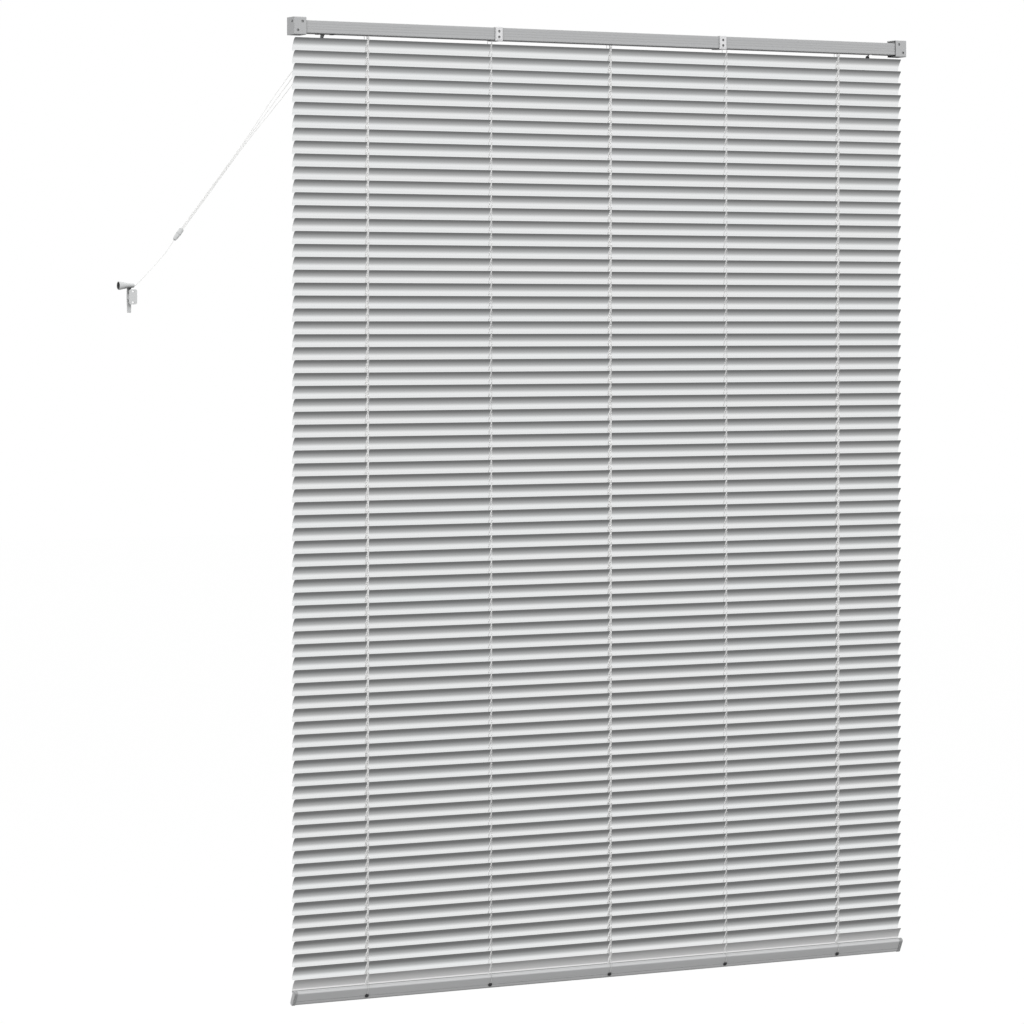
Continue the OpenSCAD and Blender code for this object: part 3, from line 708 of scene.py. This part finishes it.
# One flat blank with rounded corners and punched slots, rolled to its crown.
def makeSlatBlank():
    deselectAll()
    bpy.ops.mesh.primitive_plane_add(size=1)
    blank = bpy.context.object
    startEditing(blank)
    bpy.ops.transform.resize(value=(slat["length"], slat["width"], 1))
    bpy.ops.mesh.bevel(offset=slat["cornerRadius"], segments=slat["cornerSegments"], affect="VERTICES")
    stopEditing()
    useModifier(blank, "SOLIDIFY", thickness=slat["thickness"], offset=-1)
    slots = joined([makeSlot(x) for x in liftCord["x"]], "slots")
    useModifier(blank, "BOOLEAN", operation="DIFFERENCE", object=slots, solver="EXACT")
    removePiece(slots)
    startEditing(blank)
    for k in range(1, slat["strips"]):
        bpy.ops.mesh.select_all(action="SELECT")
        y = slat["width"] * (k / slat["strips"] - 0.5)
        bpy.ops.mesh.bisect(plane_co=(0, y, 0), plane_no=(0, 1, 0))
    stopEditing()
    for vertex in blank.data.vertices:
        vertex.co.z += crownHeight(min(abs(vertex.co.y), slat["width"] / 2))
    smoothBy(blank, slat["smoothAngle"])
    return blank


# The lower slats gather under the last tilting one, each with its own share of the bottom rail's travel. That
# share, and the place on a smooth step where the step has come as far as it, are worked out here but not
# used: a piece with no share goes on the headrail's body, and any other piece only has its placing baked into
# its mesh.
def gatherWithRail(piece, number):
    share = (number - tiltingSlats - 1) * slat["stackedRise"] / liftTravel
    if share <= 0:
        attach(piece, root)
        return
    along = 0.5 - math.sin(math.asin(1 - 2 * share) / 3)
    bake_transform(piece)


def makeSlats():
    blank = dress(makeSlatBlank(), "slat_aluminium")
    for number in range(1, slatCount + 1):
        piece = copyOf(blank, f"slatStrip_{number:02d}", slatPlace(number))
        piece.visible_glossy = False
        piece.visible_diffuse = False
        if number <= tiltingSlats:
            node = f"slat_{number:02d}"
            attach(piece, bodyOfNode[node])
            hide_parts(node)
        else:
            gatherWithRail(piece, number)
            if number == tiltingSlats + 1:
                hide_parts("slats_lower")
    # the last slat's colour carries the rail's painted shadow, highlight and reflection
    foot = min(vertex.co.z for vertex in piece.data.vertices)
    piece.data.materials[0] = lastSlatPaintedLightFinish(foot)
    removePiece(blank)


makeSlats()
print("slats:", slatCount)


# Ladders and lift cords

ladder = {
    "x": (-0.458, -0.229, 0, 0.229, 0.458),
    "reach": 0.0077,         # strings from the turning line
    "stringRadius": 0.0004,
    "rungDrop": 0.0008,      # rungs below the line through a slat's edges
    "cordThread": 0.0009,    # radius of a rung's threads where a lift cord passes
    "plainThread": 0.0004,
    "knotRadius": 0.0009,
    "cordReach": 0.005,      # a lift cord as near as this passes between a rung's threads
    "tuck": 0.001,           # how far the window strings reach below the rail's upper edge
}
railLow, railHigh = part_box("bottom_rail")
rodZ = joints["tilt"]["pos_m"][2]
splitDrop = pitch / 2


def rungPoint(across, x=0.0):
    half = ladder["reach"] / math.cos(math.radians(slat["closedTilt"]))
    return Vector((x, across * half, -ladder["rungDrop"]))


# Two threads per rung. They part in the middle where a lift cord passes between them.
def makeRungSet():
    threads = []
    for x in ladder["x"]:
        cordBeside = [c for c in liftCord["x"] if abs(c - x) < ladder["cordReach"]]
        radius = ladder["cordThread"] if cordBeside else ladder["plainThread"]
        middle = cordBeside[0] if cordBeside else x
        parting = pullCord["diameter"] / 2 + radius if cordBeside else radius
        for side in (-1, 1):
            path = [
                rungPoint(across, x + (middle - x) * (1 - abs(across)) + side * spread)
                for across, spread in (
                    (-1, 0.3 * radius), (-0.85, radius), (-0.4, radius), (-0.15, parting),
                    (0.15, parting), (0.4, radius), (0.85, radius), (1, 0.3 * radius),
                )
            ]
            threads.append(tubeAlong("thread", path, radius, 6))
        for end in (-1, 1):
            deselectAll()
            bpy.ops.mesh.primitive_ico_sphere_add(
                subdivisions=1, radius=ladder["knotRadius"], location=rungPoint(end, x)
            )
            knot = bpy.context.object
            bpy.ops.object.transform_apply(location=True)
            bpy.ops.object.shade_smooth()
            threads.append(knot)
    return joined(threads, "rungSet")


# A copy of the rung set for each slat, placed with it. With the slats turned over a rung is a little shorter
# between the strings; these copies are not shortened.
def makeRungs():
    rungSet = dress(makeRungSet(), "ladder_braid")
    for number in range(1, slatCount + 1):
        piece = copyOf(rungSet, f"rungs_{number:02d}", slatPlace(number))
        piece.visible_glossy = False
        if number <= tiltingSlats:
            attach(piece, bodyOfNode[f"slat_{number:02d}"])
            slatZ(number)
            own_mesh(piece)
        else:
            gatherWithRail(piece, number)
    removePiece(rungSet)


def makeStrings(name, side, top, foot):
    y = pivotY + side * ladder["reach"]
    strings = [
        tubeAlong("string", [(x, y, top), (x, y, foot)], ladder["stringRadius"]) for x in ladder["x"]
    ]
    return dress(joined(strings, name), "ladder_braid")


def makeLadderStrings():
    rise = math.tan(math.radians(slat["closedTilt"])) * ladder["reach"]
    for side, label in ((-1, "Window"), (1, "Room")):
        split = slatZ(tiltingSlats) - side * rise - splitDrop
        upper = makeStrings("ladder" + label + "Upper", side, rodZ, split)
        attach(upper, root)
        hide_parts("ladders_upper")
        foot = railHigh.z - ladder["tuck"] if side < 0 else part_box("ladders_lower")[0].z
        lower = makeStrings("ladder" + label + "Lower", side, split, foot)
        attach(lower, root)
        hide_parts("ladders_lower")
        1 - liftTravel / (split - foot)
        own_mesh(lower)


def makeLiftCords():
    low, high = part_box("lift_cords")
    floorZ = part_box("headrail")[0].z
    drops = [
        tubeAlong("drop", [(x, pivotY, floorZ), (x, pivotY, low.z)], liftCord["radius"], liftCord["sides"])
        for x in liftCord["x"]
    ]
    hanging = dress(joined(drops, "liftCordDrops"), "cord_braid")
    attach(hanging, root)
    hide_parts("lift_cords")
    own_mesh(hanging)
    laneZ = high.z - liftCord["radius"]
    runs = []
    for x, lane in zip(liftCord["x"], liftCord["lanes"]):
        bend = [
            (x - before, pivotY + lane * share, laneZ - depth)
            for before, share, depth in liftCord["bend"]
        ]
        route = [(pullCord["outlet"].x, pivotY + lane, laneZ), *bend, (x, pivotY, floorZ)]
        runs.append(tubeAlong("run", smoothPath(route, liftCord["pointGap"]), liftCord["radius"]))
    inside = dress(joined(runs, "liftCordRuns"), "cord_braid")
    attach(inside, root)
    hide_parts("lift_cords")


makeRungs()
makeLadderStrings()
makeLiftCords()
print("ladders and lift cords made")


# Headrail, brackets, bottom rail and fittings

# how far each solid's edges are broken
edges = {
    "headrail": 0,
    "bracket_left": 0.0003,
    "bracket_right": 0.0003,
    "gate_left": 0.0003,
    "gate_right": 0.0003,
    "centre_brackets": 0.0002,
    "bottom_rail": 0,
    "rail_caps": 0.0004,
    "rail_buttons": 0.0002,
    "cord_lock": 0.0003,
    "tilter_housing": 0.0003,
    "wand_hook": 0.0002,
    "cord_cleat": 0.0005,
}
eyelet = {
    "x": pullCord["outlet"].x,
    "reach": 0.0048,         # half of its width in the solid
    "top": -0.0103,
    "foot": -0.0172,
    "slimTop": 0.62,         # shares of that width which are left after the taper
    "slimFoot": 0.42,
}


# The pale eyelet at the foot of the cord lock, where the cords leave it, tapers towards its mouth.
def makeEyelet(lock):
    startEditing(lock, "FACE")
    pick(lock, "faces", lambda face: abs(face.calc_center_bounds().x - eyelet["x"]) < eyelet["reach"])
    bpy.ops.mesh.bisect(plane_co=(0, 0, eyelet["top"]), plane_no=(0, 0, 1))
    pick(lock, "faces", lambda face: all(
        abs(vertex.co.x - eyelet["x"]) < eyelet["reach"] and vertex.co.z < eyelet["top"] + tolerance
        for vertex in face.verts
    ))
    bpy.ops.mesh.separate(type="SELECTED")
    stopEditing()
    cone = next(piece for piece in bpy.context.selected_objects if piece != lock)
    cone.name = cone.data.name = "lockEyelet"
    for vertex in cone.data.vertices:
        down = (eyelet["top"] - vertex.co.z) / (eyelet["top"] - eyelet["foot"])
        slim = eyelet["slimTop"] + (eyelet["slimFoot"] - eyelet["slimTop"]) * down
        vertex.co.x = eyelet["x"] + (vertex.co.x - eyelet["x"]) * slim
    dress(cone, "grey_plastic")
    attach(cone, root)
    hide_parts("cord_lock")


# The bottom rail lies as the closed slats do. Its seam and wraps are placed in its own level section.
railMiddle = (railLow + railHigh) / 2
railFinish = enamelFinish(
    "bottomRailEnamel", (0.67, 0.675, 0.68), roughness=0.34, metallic=0.6, lineShare=0.5, cornerShadeReach=0.005,
)
seam = {
    "middle": 0.0045,
    "reach": 0.00065,
    "below": -0.001,         # it runs along the underside
    "closed": 0.35,          # share of its width that stays open
}
wrap = {
    "corner": (-0.0093, -0.0006),
    "radius": 0.0038,
    "turns": range(200, 271, 14),        # degrees round the corner
    "button": 0.0045,
}


# The rolled seam under the rail, pressed nearly shut.
def closeSeam(rail):
    for vertex in rail.data.vertices:
        local = closed.inverted() @ (vertex.co - railMiddle)
        if abs(local.y - seam["middle"]) < seam["reach"] and local.z < seam["below"]:
            local.y = seam["middle"] + (local.y - seam["middle"]) * seam["closed"]
            vertex.co = railMiddle + closed @ local


# The window strings go round the rail's edge and along its underside into the buttons.
def makeRailWraps():
    cornerY, cornerZ = wrap["corner"]
    around = [
        (cornerY + wrap["radius"] * math.cos(angle), cornerZ + wrap["radius"] * math.sin(angle))
        for angle in map(math.radians, wrap["turns"])
    ]
    underZ = around[-1][1]
    wraps = []
    for x in ladder["x"]:
        path = [
            railMiddle + closed @ Vector((x - railMiddle.x, y, z))
            for y, z in [*around, (0, underZ), (wrap["button"], underZ)]
        ]
        wraps.append(tubeAlong("wrap", path, ladder["stringRadius"]))
    whole = dress(joined(wraps, "ladderWraps"), "ladder_braid")
    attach(whole, bodyOfNode["bottom_rail"])
    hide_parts("ladders_lower")


def makeFittings():
    for node, edge in edges.items():
        piece = refined(node, edge)
        if node == "cord_lock":
            makeEyelet(piece)
        if node == "bottom_rail":
            closeSeam(piece)
            piece.data.materials[0] = railFinish
        if node in ("bottom_rail", "rail_caps", "rail_buttons"):
            piece.visible_glossy = False
    nodes["wand"].visible_glossy = False
    makeRailWraps()


makeFittings()
print("fittings refined:", len(edges))


# Studio

studio = {
    "floorDrop": 0.4,        # the blind hangs this far above the floor
    "floorSize": 40,
    "floorTone": 0.9,
    "floorGlow": 0.97,       # share of plain white in what the camera sees of the floor
    # tone of the sky for all but gloss, from straight down at 0 to straight up at 1
    "daylight": [(0, 0.12), (0.3, 0.18), (0.5, 0.9), (0.75, 1.0), (1, 1.0)],
    # what gloss sees, by the angle across the slats in degrees: 0 is level out of the window, 90 straight up,
    # -90 straight down, and 180 level into the room
    "gloss": [
        (-180, 0.12), (-145, 0.15), (-128, 0.17), (-96, 0.16), (-90, 0.16), (-82, 0.16), (-72, 0.23),
        (-62, 0.37), (-54, 0.45), (-47, 0.64), (-41, 0.83), (-35, 0.90), (-27, 0.83), (-21, 0.83),
        (-13, 0.95), (15, 0.97), (45, 0.95), (70, 0.72), (90, 0.58), (115, 0.75), (140, 0.85), (158, 0.5),
        (175, 0.28),
    ],
}


# For gloss the sky is like a long hall beside the blind: its tone changes only round the X axis.
def makeWorld():
    world = bpy.data.worlds.new("studioSky")
    bpy.context.scene.world = world
    sky = Finish(world)
    background = sky.tree.nodes["Background"]
    seen = sky.add("ShaderNodeLightPath", output="Is Camera Ray")
    glossy = sky.add("ShaderNodeLightPath", output="Is Glossy Ray")
    clear = sky.add("ShaderNodeLightPath", output="Is Transmission Ray")
    direction = sky.add("ShaderNodeTexCoord", output="Generated")
    toRoom = sky.add("ShaderNodeSeparateXYZ", None, {0: direction}, "Y")
    height = sky.add("ShaderNodeSeparateXYZ", None, {0: direction}, "Z")
    turn = height.angleOver(toRoom * -1) / (2 * math.pi) + 0.5
    bands = sky.ramp(turn, [(0.5 + angle / 360, tone) for angle, tone in studio["gloss"]])
    daylight = sky.ramp(height * 0.5 + 0.5, studio["daylight"])
    lit = sky.mixed(glossy, daylight, bands)
    sky.feed(background.inputs["Color"], sky.mixed(seen.highest(clear), lit, (1, 1, 1, 1)))


def makeFloor():
    deselectAll()
    z = cadBounds[0][2] - studio["floorDrop"]
    bpy.ops.mesh.primitive_plane_add(size=studio["floorSize"], location=(0, 0, z))
    floor = bpy.context.object
    floor.name = "floor"
    tone = studio["floorTone"]
    finish = newFinish("floorPaper", Roughness=0.9, Base_Color=(tone, tone, tone, 1))
    seen = finish.add("ShaderNodeLightPath", output="Is Camera Ray")
    glow = finish.add("ShaderNodeEmission", None, {"Color": (1, 1, 1, 1), "Strength": 1.0})
    shader = Signal(finish, finish.shader.outputs[0])
    blended = finish.add("ShaderNodeMixShader", None, {0: seen * studio["floorGlow"], 1: shader, 2: glow})
    finish.feed(finish.tree.nodes["Material Output"].inputs["Surface"], blended)
    floor.data.materials.append(finish.owner)
    floor.visible_glossy = False
    floor.visible_diffuse = False


lampAim = Vector((0, 0, -0.7))
lamps = {
    "roomTop": {"place": (0.4, 2.2, 2.4), "size": 3.0, "power": 60},
    "windowLeft": {"place": (-3.2, -3.4, 0.2), "size": 2.5, "power": 42},
    "windowRight": {"place": (3.4, -3.0, -0.4), "size": 2.5, "power": 26},
}


def makeLamps():
    for name, lamp in lamps.items():
        deselectAll()
        toward = (lampAim - Vector(lamp["place"])).to_track_quat("-Z", "Y").to_euler()
        bpy.ops.object.light_add(type="AREA", location=lamp["place"], rotation=toward)
        light = bpy.context.object
        light.name = name
        light.data.shape = "DISK"
        light.data.size = lamp["size"]
        light.data.energy = lamp["power"]
        light.visible_glossy = False
        light.visible_camera = False


makeWorld()
makeFloor()
makeLamps()
bpy.context.scene.view_settings.view_transform = "Standard"
